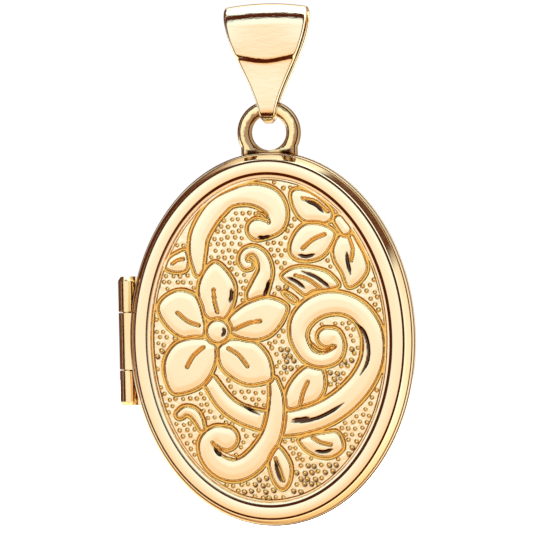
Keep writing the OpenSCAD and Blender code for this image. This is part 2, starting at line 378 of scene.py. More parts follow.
def pressed_oval(section, side, closed_band=False):
    """Carries a section of (inset, depth) steps in mm round the oval. side is -1 (lid) or 1 (back)."""
    start_clean()
    bpy.ops.mesh.primitive_circle_add(vertices=OVAL_POINTS, radius=1, rotation=(math.pi / 2, 0, 0))
    bpy.ops.object.transform_apply(location=False, rotation=True, scale=False)
    bpy.ops.object.mode_set(mode="EDIT")
    wide, high, depth = oval_step(*section[0])
    y = parting_y + side * depth
    bpy.ops.transform.resize(value=(wide, 1, high), center_override=(0, 0, 0))
    bpy.ops.transform.translate(value=(0, y, case_z))
    for step in section[1:] + (section[:1] if closed_band else []):
        new_wide, new_high, new_depth = oval_step(*step)
        new_y = parting_y + side * new_depth
        bpy.ops.mesh.extrude_region_move(TRANSFORM_OT_translate={"value": (0, new_y - y, 0)})
        bpy.ops.transform.resize(value=(new_wide / wide, 1, new_high / high),
                                 center_override=(0, new_y, case_z))
        wide, high, y = new_wide, new_high, new_y
    return close_up(closed_band)


# %% [markdown]
# Two more ways of working are needed. A rod or block takes metal away, as a file or drill does. A section
# carried round the hinge line is what a lathe would turn.

# %% Helpers for cutting and turning
pin_low, pin_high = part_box("hinge_pin")
hinge_x = (pin_low.x + pin_high.x) / 2
hinge_y = (pin_low.y + pin_high.y) / 2


def cut_away(piece, *cutters):
    """Takes the cutters out of the piece and throws them away."""
    for solid in (*cutters, piece):
        face_outwards(solid)
    for cutter in cutters:
        cut = piece.modifiers.new("cut", "BOOLEAN")
        cut.operation = "DIFFERENCE"
        cut.solver = "EXACT"
        cut.object = cutter
        bpy.ops.object.modifier_apply(modifier=cut.name)
        bpy.data.objects.remove(cutter)
    return piece


def block(low, high):
    """A block in mm between two corners measured from the hinge line at the middle of the hinge."""
    start_clean()
    middle = [(a + b) / 2 * MM for a, b in zip(low, high)]
    bpy.ops.mesh.primitive_cube_add(size=1, location=Vector((hinge_x, hinge_y, case_z)) + Vector(middle),
                                    scale=[(b - a) * MM for a, b in zip(low, high)])
    bpy.ops.object.transform_apply(location=True, rotation=True, scale=True)
    return bpy.context.object


def turned(section, closed_band=True, sides=64):
    """Carries a section of (radius, height) steps in mm round the hinge line."""
    start_clean()
    radius, up = section[0]
    bpy.ops.mesh.primitive_circle_add(vertices=sides, radius=radius * MM,
                                      location=(hinge_x, hinge_y, case_z + up * MM))
    bpy.ops.object.transform_apply(location=True, rotation=True, scale=True)
    bpy.ops.object.mode_set(mode="EDIT")
    for new_radius, new_up in section[1:] + (section[:1] if closed_band else []):
        bpy.ops.mesh.extrude_region_move(TRANSFORM_OT_translate={"value": (0, 0, (new_up - up) * MM)})
        bpy.ops.transform.resize(value=(new_radius / radius, new_radius / radius, 1),
                                 center_override=(hinge_x, hinge_y, case_z + new_up * MM))
        radius, up = new_radius, new_up
    return close_up(closed_band)


# %% [markdown]
# ### The two shells
# Each shell's wall leans in from the parting line to a raised, flat-topped rim with buffed shoulders. Inside
# the rim a narrow ledge runs round the panel. The lid's panel is a sheet of its own here, because it is
# engraved.

# %% Press the shells
side_flare = 0.56
rim_width = 0.56
moat_width = 0.30
sheet = 0.28
crown = 1.60
rim_in = side_flare + rim_width
field_inset = rim_in + moat_width
panel_edge = crown - 0.12
panel_dome = 0.20


def shell_outside():
    """From the hidden floor under the panel, over the ledge and rim, down to the parting line."""
    ledge = [(field_inset, crown - 0.27), (field_inset, crown - 0.10), (field_inset - 0.09, crown - 0.092),
             (field_inset - 0.10, crown - 0.089)]
    rim = [(field_inset - 0.25, crown - 0.016), (field_inset - 0.26, crown - 0.011),
           (field_inset - 0.30, crown - 0.002), (0.84, crown), (0.58, crown - 0.006), (0.55, crown - 0.018),
           (0.54, crown - 0.023), (0.445, crown - 0.072), (0.435, crown - 0.078), (0.415, crown - 0.11)]
    flare = [(0.395, crown - 0.16), (0.30, crown - 0.48), (0.17, 0.66), (0.155, 0.61), (0.145, 0.602),
             (0.10, 0.581), (0.09, 0.573), (0.083, 0.555), (0.05, 0.36), (0.0, 0.17), (0.01, 0.08),
             (0.07, 0.02), (0.14, 0.0)]
    return ledge + rim + flare


shell_inside = [(sheet, 0.0), (sheet + 0.04, 0.35), (side_flare * 0.6 + sheet, crown * 0.6),
                (side_flare + sheet + 0.02, crown - sheet - 0.14), (rim_in, crown - sheet - 0.14),
                (field_inset, crown - sheet - 0.16)]

HINGE_ROOM = [(0.54, -3.8), (0.54, 3.8)]
LID_KNUCKLE = 1.65
HINGE_END = 3.75

front_shell = pressed_oval(shell_outside() + shell_inside, -1)
cut_away(front_shell, turned(HINGE_ROOM, closed_band=False),
         block((0, -0.49, -LID_KNUCKLE - 0.01), (1.6, -0.01, LID_KNUCKLE + 0.01)))
finish_piece(front_shell, "front_shell", "lid", polished_gold, ["front_cover"])

# %% [markdown]
# The back shell is the same pressing with its plain panel left on, a low polished dome that sits against
# the wearer. Its inside follows one sheet behind.

# %% Press the back shell
dome_shares = [0.04, 0.12, 0.25, 0.4, 0.55, 0.7, 0.82, 0.92, 0.98, 1.0]
dome_outside = [(field_inset, panel_edge + panel_dome * (1 - share ** 2), share) for share in dome_shares]
dome_inside = [(field_inset, panel_edge - sheet + panel_dome * (1 - share ** 2), share)
               for share in reversed(dome_shares)]
back_shell = pressed_oval(dome_outside + shell_outside()[2:] + shell_inside[:-1] + dome_inside, 1)
cut_away(back_shell, turned(HINGE_ROOM, closed_band=False),
         block((0, 0.01, LID_KNUCKLE + 0.04), (1.6, 0.49, HINGE_END + 0.01)),
         block((0, 0.01, -HINGE_END - 0.01), (1.6, 0.49, -LID_KNUCKLE - 0.04)))
finish_piece(back_shell, "back_shell", "back_half", polished_gold, ["back_cover"])

# %% [markdown]
# ## Inside the case
# Each half holds a bezel, soldered in, with a ledge that carries the picture. The back one stands proud, so
# it guides the lid and grips it shut. A card, a clear window and a springy flat frame drop in, in that order.
# The frame has a nick at its foot to lift it out by. These are ovals again, so they are pressed the same way.

# %% Bend the bezels and cut what they hold
def bezel(top, side):
    return pressed_oval([(0.40, top + 0.03), (0.41, 0.5), (0.646, 0.96), (0.76, 1.08), (1.08, 1.10),
                         (1.10, 1.08), (1.10, 0.97), (1.08, 0.95), (0.71, 0.95), (0.70, 0.94),
                         (0.70, top + 0.03), (0.67, top), (0.43, top)], side, closed_band=True)


def picture_frame(side):
    frame_piece = pressed_oval([(0.74, 0.46), (0.74, 0.68), (1.49, 0.68), (1.49, 0.47), (1.45, 0.43),
                                (0.78, 0.43)], side, closed_band=True)
    start_clean()
    foot = case_z - half_h + 1.49 * MM
    bpy.ops.mesh.primitive_cube_add(size=1, location=(0, parting_y + side * 0.55 * MM, foot + 0.1 * MM),
                                    scale=(1.2 * MM, 1.0 * MM, 0.8 * MM))
    bpy.ops.object.transform_apply(location=True, rotation=True, scale=True)
    return cut_away(frame_piece, bpy.context.object)


def paper_finish():
    """Blank picture card: a warm white with fibres and a faint mottle."""
    finish, tree, shader, place = new_finish("paper_card")
    mottle = add_noise(tree, place, Scale=420.0, Detail=4.0)
    fibre = add_noise(tree, place, Scale=7000.0, Detail=5.0, Roughness=0.7)
    tree.links.new(colour_ramp(tree, mottle, (0.80, 0.76, 0.67, 1), (0.90, 0.87, 0.80, 1)),
                   shader.inputs["Base Color"])
    tree.links.new(colour_ramp(tree, fibre, grey(0.55), grey(0.80)), shader.inputs["Roughness"])
    press_marks(tree, shader, fibre, 0.3, 0.03)
    return finish


def window_finish():
    """Thin clear acetate: a trace of straw colour, and hair scratches that soften its gloss."""
    finish, tree, shader, place = new_finish("clear_window")
    shader.inputs["Transmission Weight"].default_value = 1.0
    shader.inputs["IOR"].default_value = 1.48
    shader.inputs["Alpha"].default_value = 0.35
    tint = add_noise(tree, place, Scale=300.0, Detail=3.0)
    hair = add_noise(tree, drawn_out(tree, place, (0.3, 1.0, 3.0), (0.0, 0.6, 0.0)), Scale=5200.0, Detail=6.0,
                     Roughness=0.7)
    tree.links.new(colour_ramp(tree, tint, (0.97, 0.96, 0.92, 1), (0.98, 0.99, 0.99, 1)),
                   shader.inputs["Base Color"])
    tree.links.new(colour_ramp(tree, hair, grey(0.03), grey(0.12)), shader.inputs["Roughness"])
    press_marks(tree, shader, hair, 0.08, 0.01)
    return finish


paper_card = paper_finish()
clear_window = window_finish()
for side, half, body, lip in ((1, "back", "back_half", -0.35), (-1, "front", "lid", 0.40)):
    finish_piece(bezel(lip, side), half + "_bezel_band", body, inner_gold, [half + "_bezel"])
    finish_piece(picture_frame(side), half + "_spring_frame", body, inner_gold,
                 [half + "_picture_frame"])
    card = pressed_oval([(0.76, 0.805), (0.74, 0.82), (0.74, 0.95)], side)
    finish_piece(card, half + "_blank_card", body, paper_card, [half + "_picture_card"])
    window = pressed_oval([(0.76, 0.685), (0.74, 0.70), (0.74, 0.80)], side)
    finish_piece(window, half + "_clear_window", body, clear_window, [half + "_window"])

# %% [markdown]
# ## The hinge
# Three lengths of drawn tube, called knuckles, are threaded on one pin. The two outer ones belong to the
# back and the middle one to the lid. After soldering, the outer ends are filed to a slight taper with the
# pin flush in them. Each is turned in one go, with the small bright chamfer that keeps a joint crisp.

# %% Turn the knuckles and the pin
KNUCKLE_R, BORE_R, PIN_R = 0.5, 0.27, 0.25
CHAMFER = 0.035
TAPER_DROP, TAPER_LENGTH = 0.13, 0.24
KNUCKLE_IN = LID_KNUCKLE + 0.05


def knuckle_section(low, high, taper_low=0.0, taper_high=0.0):
    """Bore, end, chamfer, outside, chamfer, end. A taper takes an outer end down over that length."""
    end_low = KNUCKLE_R - (TAPER_DROP if taper_low else 0.0)
    end_high = KNUCKLE_R - (TAPER_DROP if taper_high else 0.0)
    return [(BORE_R, low + 0.02), (BORE_R + 0.02, low), (end_low - CHAMFER, low), (end_low, low + CHAMFER),
            (KNUCKLE_R, low + max(taper_low, 0.04)), (KNUCKLE_R, high - max(taper_high, 0.04)),
            (end_high, high - CHAMFER), (end_high - CHAMFER, high), (BORE_R + 0.02, high),
            (BORE_R, high - 0.02)]


KNUCKLES = [("upper_knuckle", "back_half", "upper_hinge_knuckle", KNUCKLE_IN, HINGE_END, 0.0, TAPER_LENGTH),
            ("lid_knuckle", "lid", "middle_hinge_knuckle", -LID_KNUCKLE, LID_KNUCKLE, 0.0, 0.0),
            ("lower_knuckle", "back_half", "lower_hinge_knuckle", -HINGE_END, -KNUCKLE_IN, TAPER_LENGTH, 0.0)]
for name, body, node, low, high, taper_low, taper_high in KNUCKLES:
    finish_piece(turned(knuckle_section(low, high, taper_low, taper_high)), name, body,
                 hinge_gold, [node])
pin = turned([(0.05, -HINGE_END), (0.21, -HINGE_END), (PIN_R, -HINGE_END + 0.04), (PIN_R, HINGE_END - 0.04),
              (0.21, HINGE_END), (0.05, HINGE_END)], closed_band=False, sides=48)
finish_piece(pin, "drawn_pin", "back_half", pin_gold, ["hinge_pin"])
for node in ("back_joint_bearers", "front_joint_bearer"):
    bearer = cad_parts[node]
    bearer.data.materials.clear()
    bearer.data.materials.append(hinge_gold)

# %% [markdown]
# ## The suspension ring
# This is a small casting: a ring with a flattish face whose foot spreads to sit on the round top of the
# case, where it is soldered. A round ring is added, and its points are moved so that the outside follows
# the foot, since its section changes all the way round.

# %% Shape the ring
bail_low, bail_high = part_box("bail")
ring_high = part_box("suspension_ring")[1]
wire_r = ring_high.y / MM
ring_r = 1.43
ring_z = ring_high.z / MM - ring_r - wire_r
seat_r = half_w * half_w / half_h / MM
FOOT_HALF, FOOT_REACH = 1.64, 2.6
SOFT_CORNER = 0.66
seat_drop = ring_z - (case_z / MM + half_h / MM - 0.1 - seat_r)


def swell(value, power):
    """Pushes a cosine or sine outwards, which turns a round section into a flat one with soft corners."""
    return math.copysign(abs(value) ** power, value)


def shaped_band(rings, sides, place):
    """Starts from a plain ring and moves each point to where place puts it, in mm."""
    start_clean()
    bpy.ops.mesh.primitive_torus_add(major_segments=rings, minor_segments=sides, major_radius=1,
                                     minor_radius=0.25)
    piece = bpy.context.object
    for vertex in piece.data.vertices:
        along = math.atan2(vertex.co.y, vertex.co.x)
        turn = math.atan2(vertex.co.z, math.hypot(vertex.co.x, vertex.co.y) - 1)
        vertex.co = Vector(place(along, turn)) * MM
    return piece


def ring_reach(across, up):
    """How far the outside lies from the ring's middle: a circle above, and the foot on its seat below."""
    reach = ring_r + wire_r
    if up < 0:
        reach = max(reach, min(FOOT_HALF / max(abs(across), 1e-6), FOOT_REACH))
        inside = seat_r ** 2 - (seat_drop * across) ** 2
        if inside > 0:
            reach = min(reach, -seat_drop * up - math.sqrt(inside))
    return reach


def ring_place(along, turn):
    across, up = math.sin(along), math.cos(along)
    inner, outer = ring_r - wire_r, ring_reach(across, up)
    radius = (inner + outer) / 2 + (outer - inner) / 2 * swell(math.cos(turn), SOFT_CORNER)
    return radius * across, (wire_r - 0.01) * swell(math.sin(turn), SOFT_CORNER), ring_z + radius * up


ring_piece = shaped_band(224, 40, ring_place)
finish_piece(ring_piece, "cast_ring", "back_half", cast_gold, ["suspension_ring"],
             smooth_angle=50)

# %% [markdown]
# On the ring a dark reflection is painted in mottled brown on the faces turned to the right, which are the
# outside on the right and the inside on the left, and a shadow is painted near black in the corners of the
# foot.

# %% Paint a dark reflection and a shadow on the ring
# Painted colours: a brown dark reflection for the ring's right-facing faces, and a near-black shadow for the
# corners of its foot.
RING_SHADE_BROWN = (0.42, 0.24, 0.11, 1)
FOOT_SHADOW_DARK = (0.05, 0.02, 0.01, 1)


def ramp_between(tree, source, low, high, out_low=0.0, out_high=1.0):
    """Goes from out_low to out_high while source goes from low to high, both in mm."""
    return scale_between(tree, source, low * MM, high * MM, out_low, out_high)


def maths(tree, operation, one, other):
    node = tree.nodes.new("ShaderNodeMath")
    node.operation = operation
    for socket, value in zip(node.inputs, (one, other)):
        if isinstance(value, bpy.types.NodeSocket):
            tree.links.new(value, socket)
        else:
            socket.default_value = value
    return node.outputs[0]


def paint_ring_shade(finish):
    """Paints a dark reflection brown on the faces turned to the right, and a shadow dark in the corners of
    the foot.
    """
    tree = finish.node_tree
    base_colour = tree.nodes["Principled BSDF"].inputs["Base Color"]
    place = tree.nodes.new("ShaderNodeTexCoord").outputs["Object"]
    axes = tree.nodes.new("ShaderNodeSeparateXYZ")
    tree.links.new(place, axes.inputs["Vector"])
    across, _, up = axes.outputs
    above_middle = maths(tree, "SUBTRACT", up, ring_z * MM)
    from_middle = maths(tree, "SQRT", maths(tree, "ADD", maths(tree, "MULTIPLY", across, across),
                                            maths(tree, "MULTIPLY", above_middle, above_middle)), 0.0)
    mottle = add_noise(tree, place, Scale=1800.0, Detail=4.0, Roughness=0.6)
    uneven = maths(tree, "MULTIPLY", maths(tree, "SUBTRACT", mottle, 0.5), 0.5 * MM)
    facing_right = maths(tree, "MULTIPLY", maths(tree, "SUBTRACT", from_middle, (ring_r + 0.04) * MM),
                        ramp_between(tree, across, -0.6, 0.6, -1.0, 1.0))
    shaded_faces = ramp_between(tree, maths(tree, "ADD", facing_right, uneven), 0.03, 0.10)
    # Painted dark reflection: the faces turned to the right go mottled brown.
    blend_in(tree, base_colour, shaded_faces, RING_SHADE_BROWN)
    sideways = maths(tree, "ABSOLUTE", across, 0.0)
    above_seat = maths(tree, "ADD", maths(tree, "SUBTRACT", up, case_z + half_h), uneven)
    foot_side = maths(tree, "MULTIPLY", ramp_between(tree, sideways, 0.5, 0.8),
                      ramp_between(tree, sideways, 1.4, 1.2))
    corner_shadow = maths(tree, "MULTIPLY", ramp_between(tree, above_seat, 0.20, 0.12), foot_side)
    # Painted shadow: the corners of the foot go near black.
    blend_in(tree, base_colour, corner_shadow, FOOT_SHADOW_DARK)


paint_ring_shade(cast_gold)

# %% [markdown]
# ## The bail
# One tapered strap, wide where the chain runs and narrow where it passes through the ring, is folded over
# and its ends are joined behind the ring. Its face is crowned, so the corners of the top lie lower than
# its middle, and a soft step crosses the front below the wide part. It is a closed band as well.

# %% Fold the bail
STRAP = 0.30
STRAP_EDGE = 0.13
NARROW_HALF, WIDE_HALF = 0.45, 2.44
STEP_Z, STEP_DEPTH = -2.85, 0.13
ARCH_R, LOOP_R = 1.05, 0.75
ARCH_Z = bail_high.z / MM - ARCH_R - STRAP / 2
LOOP_Z = bail_low.z / MM + LOOP_R + STRAP / 2
LEAN = math.asin((ARCH_R - LOOP_R) / (ARCH_Z - LOOP_Z))
STRAIGHT = (ARCH_Z - LOOP_Z) * math.cos(LEAN)
ARCH_HALF = ARCH_R * (math.pi / 2 + LEAN)
LOOP_HALF = LOOP_R * (math.pi / 2 - LEAN)
STRAP_LENGTH = 2 * (ARCH_HALF + STRAIGHT + LOOP_HALF)


def rise(value, low, high):
    t = min(1, max(0, (value - low) / (high - low)))
    return t * t * (3 - 2 * t)


def strap_line(travel):
    """Middle line of the folded strap: how far forward, how high, and which way it faces."""
    side = math.copysign(1, travel)
    travel = abs(travel)
    if travel <= ARCH_HALF:
        facing = travel / ARCH_R
        return side * ARCH_R * math.sin(facing), ARCH_Z + ARCH_R * math.cos(facing), side * facing
    facing = math.pi / 2 + LEAN
    if travel <= ARCH_HALF + STRAIGHT:
        gone = travel - ARCH_HALF
        return (side * (ARCH_R * math.cos(LEAN) - gone * math.sin(LEAN)),
                ARCH_Z - ARCH_R * math.sin(LEAN) - gone * math.cos(LEAN), side * facing)
    facing += (travel - ARCH_HALF - STRAIGHT) / LOOP_R
    return side * LOOP_R * math.sin(facing), LOOP_Z + LOOP_R * math.cos(facing), side * facing


def strap_half_width(z):
    low_end = bail_low.z / MM
    share = min(1, max(0, (z - low_end - 0.35) / (-low_end - 0.35)))
    width = NARROW_HALF + (WIDE_HALF - NARROW_HALF) * math.sin(math.pi / 2 * share) ** 1.6
    return width - 0.20 * (1 - rise(z, low_end, low_end + 0.5))


def bail_place(along, turn):
    forward, z, facing = strap_line(along / math.pi * STRAP_LENGTH / 2)
    half = strap_half_width(z)
    spread = math.sin(math.pi / 2 * (1 - 2 * abs(turn) / math.pi))
    edge = min(1, half * (1 - abs(spread)) / STRAP_EDGE)
    thick = STRAP / 2 * math.sqrt(max(0.0, 1 - (1 - edge) ** 2)) * math.copysign(1, turn)
    crowned = 0.05 + 0.17 * rise(z, -2.2, -0.2)
    lift = thick - crowned * spread ** 2 * rise(half, 0.5, 1.2)
    if forward > 0:
        step_z = STEP_Z + 0.30 * abs(spread) ** 1.5
        lift -= STEP_DEPTH * (1 - rise(z, step_z - 0.42, step_z)) * rise(z, -5.9, -2.9)
    return half * spread, -(forward + lift * math.sin(facing)), z + lift * math.cos(facing)


bail_piece = shaped_band(320, 56, bail_place)
finish_piece(bail_piece, "folded_bail", "bail", bail_gold, ["bail"], smooth_angle=50)

# %% [markdown]
# ## The engraved panel
# On the real lid one steel die raises the flowers, leaves and scrolls and sinks a line round each. Here a
# fine flat grid is laid over the oval and its points are moved to the die's depth. Sculpting by hand would
# lose the crisp lines, and an image isn't needed, because each motif is a short list of points in mm,
# across and up from the middle of the panel. A leaf or petal is an outline. A scroll is a middle line
# with a half width at each point, so it swells and tapers as a hand-cut one does.

# %% Draw the motifs, from the lowest to the one on top
def outline(*points):
    return ("outline", points)


def scroll(*points):
    return ("scroll", points)


MOTIFS = [
    outline((0.8, 3.6), (1.2, 4.05), (1.9, 4.25), (2.8, 4.15), (3.6, 3.85), (4.2, 3.1), (3.6, 2.85),
            (2.7, 2.75), (2.2, 2.5), (1.6, 2.95)),
    outline((0.95, -2.9), (1.25, -2.35), (1.75, -1.8), (2.3, -1.5), (3.1, -1.7), (3.3, -2.3), (3.2, -3.0),
            (2.8, -3.55), (2.0, -3.85), (1.1, -4.05), (0.85, -3.5)),
    outline((-6.0, 4.2), (-5.8, 4.8), (-5.3, 5.15), (-4.75, 5.3), (-4.55, 4.6), (-4.75, 4.05), (-5.4, 3.95)),
    scroll((-4.0, 4.0, 0.3), (-4.07, 5.0, 0.5), (-3.95, 6.0, 0.57), (-3.5, 6.9, 0.6), (-2.9, 7.65, 0.6),
           (-2.05, 8.22, 0.52), (-0.85, 8.42, 0.66), (0.15, 8.1, 0.75), (0.62, 7.45, 0.66),
           (0.55, 6.75, 0.6), (0.1, 6.4, 0.52), (-0.5, 6.4, 0.66)),
    scroll((-0.65, 2.6, 0.62), (-0.35, 3.3, 0.55), (-0.1, 4.0, 0.46), (-0.25, 4.75, 0.38), (-0.7, 5.18, 0.3),
           (-1.2, 5.1, 0.28), (-1.42, 4.7, 0.28), (-1.25, 4.35, 0.3), (-1.05, 4.35, 0.3)),
    scroll((-5.3, -4.25, 0.27), (-4.95, -4.02, 0.3), (-4.5, -4.15, 0.33), (-4.2, -4.55, 0.3),
           (-4.0, -5.05, 0.22)),
    scroll((-3.45, -2.4, 0.45), (-2.7, -3.5, 0.52), (-1.8, -4.2, 0.55), (-0.5, -4.65, 0.62),
           (0.9, -4.85, 0.75), (2.6, -4.5, 0.78), (4.0, -3.8, 0.78), (5.2, -2.7, 0.74), (5.9, -1.5, 0.7),
           (6.08, -0.4, 0.68), (5.95, 0.55, 0.66), (5.4, 1.45, 0.63), (4.55, 1.98, 0.65), (3.5, 2.08, 0.7),
           (2.6, 1.75, 0.7), (1.95, 1.1, 0.65), (1.75, 0.3, 0.55), (1.97, -0.45, 0.5), (2.4, -1.0, 0.47),
           (3.1, -1.2, 0.46), (3.8, -0.95, 0.46), (4.05, -0.35, 0.42), (3.85, 0.2, 0.42), (3.4, 0.1, 0.6)),
    scroll((0.25, -2.4, 0.3), (0.4, -3.3, 0.45), (0.33, -4.4, 0.54), (0.02, -5.55, 0.6),
           (-0.62, -6.55, 0.65), (-1.42, -7.28, 0.68), (-2.3, -7.52, 0.68), (-3.1, -7.2, 0.66),
           (-3.6, -6.55, 0.62), (-3.65, -5.9, 0.6), (-3.2, -5.45, 0.56), (-2.6, -5.65, 0.72)),
    outline((-0.15, -7.0), (0.2, -6.35), (0.5, -6.15), (0.95, -6.7), (1.2, -7.4), (1.05, -8.3), (0.6, -8.7),
            (0.15, -8.3), (-0.1, -7.6)),
    outline((1.6, -5.75), (2.0, -6.4), (2.7, -6.8), (3.5, -6.85), (4.2, -6.4), (4.2, -5.8), (3.85, -5.3),
            (3.1, -5.35), (2.4, -5.45)),
    outline((2.1, 6.85), (1.6, 7.5), (1.4, 8.3), (1.65, 8.7), (2.3, 8.65), (3.1, 8.2), (3.85, 7.4),
            (3.75, 6.8), (3.0, 6.6)),
    outline((2.15, 6.65), (1.5, 5.95), (1.3, 5.1), (1.7, 4.6), (2.6, 4.5), (3.4, 4.85), (4.0, 5.8),
            (3.9, 6.3), (3.1, 6.7)),
    outline((4.2, 6.0), (3.8, 5.2), (3.9, 4.5), (4.3, 3.8), (4.65, 2.95), (5.3, 3.15), (5.85, 3.9),
            (5.75, 4.7), (5.3, 5.6), (4.95, 6.1)),
    scroll((4.22, 6.85, 0.34), (4.6, 6.3, 0.37)),
    scroll((0.95, 2.72, 0.10), (1.3, 2.45, 0.17), (1.6, 2.22, 0.14)),
    outline((-3.7, 1.45), (-4.05, 2.4), (-4.05, 3.3), (-3.6, 4.2), (-3.0, 4.6), (-2.35, 4.1), (-1.85, 3.2),
            (-1.95, 2.2), (-2.4, 1.35), (-3.0, 1.1)),
    outline((-3.75, 1.45), (-3.95, 2.2), (-4.3, 2.75), (-5.2, 3.0), (-6.1, 2.6), (-6.5, 1.9), (-6.1, 1.0),
            (-5.35, 0.3), (-4.5, 0.1), (-3.8, 0.25), (-3.65, 0.8)),
    outline((-3.75, 0.2), (-4.6, 0.2), (-5.5, -0.1), (-6.1, -0.9), (-6.2, -1.9), (-5.75, -3.0), (-4.8, -3.0),
            (-3.8, -2.5), (-3.15, -1.5), (-3.0, -0.4), (-3.3, 0.0)),
    outline((-2.95, -0.35), (-2.3, 0.1), (-1.5, 0.1), (-0.7, -0.1), (-0.05, -0.8), (0.2, -1.6), (0.15, -2.3),
            (-0.5, -2.55), (-1.3, -2.6), (-2.1, -2.25), (-2.8, -1.6), (-3.0, -0.9)),
    outline((-2.35, 1.3), (-1.7, 1.9), (-0.95, 2.3), (0.1, 2.5), (1.15, 2.0), (0.95, 1.15), (0.3, 0.35),
            (-0.5, 0.0), (-1.4, 0.05), (-2.15, 0.35), (-2.2, 0.8)),
    scroll((-2.95, 0.55, 0.72)),
]

VEINS = [
    [(-3.15, 2.95), (-3.1, 2.3), (-2.95, 1.65)], [(-5.3, 1.65), (-4.7, 1.15), (-4.05, 0.9)],
    [(-4.8, -1.5), (-4.4, -0.85), (-3.8, -0.35)], [(-2.35, -0.45), (-1.75, -0.85), (-1.25, -1.5)],
    [(-0.45, 1.1), (-1.1, 1.0), (-1.95, 0.65)], [(2.15, 8.15), (2.9, 7.95), (3.6, 7.35)],
    [(3.4, 6.05), (2.7, 5.75), (2.1, 5.25)], [(4.8, 5.85), (5.0, 5.2), (4.9, 4.5)],
    [(1.65, 3.7), (2.4, 3.45), (3.05, 2.95)], [(2.25, -2.45), (1.95, -3.1), (1.75, -3.9)],
    [(-5.55, 4.5), (-5.2, 4.7), (-4.9, 4.75)], [(0.25, -6.85), (0.5, -7.5), (0.7, -8.15)],
    [(2.45, -5.65), (2.9, -5.95), (3.5, -6.1)], [(-0.45, 7.35), (-0.15, 7.25), (0.05, 7.05), (0.15, 6.8)],
    [(2.55, -0.3), (2.8, -0.53), (3.1, -0.65), (3.5, -0.62), (3.85, -0.42)],
    [(-2.1, -6.8), (-2.65, -6.6), (-3.1, -6.3), (-3.4, -5.9)],
]

# Soft dents along a band or leaf, left by the die, where shade and a dark reflection are painted into the
# colour.
DENTS = [
    [(5.05, 0.95), (5.5, 0.45), (5.75, -0.2), (5.8, -0.9), (5.65, -1.5), (5.3, -2.1)],
    [(1.25, -4.75), (2.0, -4.7), (2.8, -4.52), (3.6, -4.15), (4.3, -3.7)],
    [(1.3, -4.62), (1.8, -4.6), (2.3, -4.5)],
    [(-2.95, -2.1), (-2.4, -2.85), (-1.8, -3.45), (-1.2, -3.95), (-0.6, -4.3)],
    [(0.1, 3.45), (0.0, 3.0), (-0.22, 2.55)], [(2.0, 3.95), (2.75, 3.65), (3.3, 3.25), (3.6, 2.98)],
    [(1.2, 3.6), (1.7, 3.35), (2.2, 2.95)],
    [(1.85, 4.88), (2.3, 4.78), (2.8, 4.9)], [(2.3, 8.0), (2.9, 7.75), (3.35, 7.3)],
    [(0.25, -7.0), (0.35, -7.6), (0.55, -8.2)], [(-2.1, 3.0), (-2.1, 2.6), (-2.2, 2.2)],
    [(-2.62, 0.75), (-2.55, 0.5), (-2.7, 0.25)], [(4.65, 5.0), (4.7, 4.4), (4.85, 3.7)],
    [(-0.5, 5.95), (-0.15, 5.9), (0.2, 6.0)], [(-3.3, -6.2), (-3.1, -6.5), (-2.9, -6.65)],
    [(2.6, -6.45), (3.1, -6.5), (3.6, -6.35)],
]

# Where shade is painted into the ground beside the dots, as across, up and how far round that place.
DOT_SHADE_PLACES = [(0.95, -0.9, 0.9), (3.7, -2.2, 0.7), (2.9, -7.8, 1.3), (1.6, -8.5, 1.2), (4.3, -6.9, 1.1),
               (-0.6, -8.9, 1.1), (-6.5, -1.0, 0.9), (2.9, 1.1, 0.7), (4.3, -0.9, 0.7), (1.0, 2.9, 0.7)]
print(len(MOTIFS), "motifs,", len(VEINS), "veins and", len(DENTS), "dents")


# %% [markdown]
# A point's depth comes from how far it is from the nearest drawn line. Within a line's half width it lies in
# the cut. Inside a motif it rises to a soft pillow. Outside it drops to the ground.

# %% Measure distances to the drawing
def smooth_line(points, closed=False, per_span=8):
    """A smooth line through the points, whatever they hold: across, up, and perhaps a half width."""
    p = np.array(points, float)
    if len(p) == 1:
        return p
    ends = (p[-1:], p[:2]) if closed else (2 * p[:1] - p[1:2], 2 * p[-1:] - p[-2:-1])
    p = np.vstack([ends[0], p, ends[1]])
    t = np.linspace(0, 1, per_span, endpoint=False)[:, None]
    spans = []
    for a, b, c, d in zip(p[:-3], p[1:-2], p[2:-1], p[3:]):
        spans.append(0.5 * (2 * b + (c - a) * t + (2 * a - 5 * b + 4 * c - d) * t ** 2
                            + (3 * b - a - 3 * c + d) * t ** 3))
    return np.vstack(spans if closed else spans + [p[-2:-1]])


def distance_to_line(at, line):
    best = np.full(len(at), 9.0)
    for start, step in zip(line[:-1], line[1:] - line[:-1]):
        along = np.clip((at - start) @ step / (step @ step), 0, 1)
        best = np.minimum(best, np.linalg.norm(at - start - along[:, None] * step, axis=1))
    return best


def is_inside(at, line):
    inside = np.zeros(len(at), bool)
    for (x0, z0), (x1, z1) in zip(line[:-1], line[1:]):
        crosses = (z0 > at[:, 1]) != (z1 > at[:, 1])
        where = x0 + (at[:, 1] - z0) / (z1 - z0 + 1e-12) * (x1 - x0)
        inside ^= crosses & (at[:, 0] < where)
    return inside


def motif_distance(at, motif):
    """Distance to a motif's edge, negative inside it."""
    kind, points = motif
    if kind == "scroll":
        line = smooth_line(points)
        return np.min([np.hypot(at[:, 0] - x, at[:, 1] - z) - w for x, z, w in line], axis=0)
    line = smooth_line(points, closed=True)
    line = np.vstack([line, line[:1]])
    return distance_to_line(at, line) * np.where(is_inside(at, line), -1, 1)


def near(at, points, margin):
    p = np.array([q[:2] for q in points])
    return np.all((at > p.min(axis=0) - margin) & (at < p.max(axis=0) + margin), axis=1)


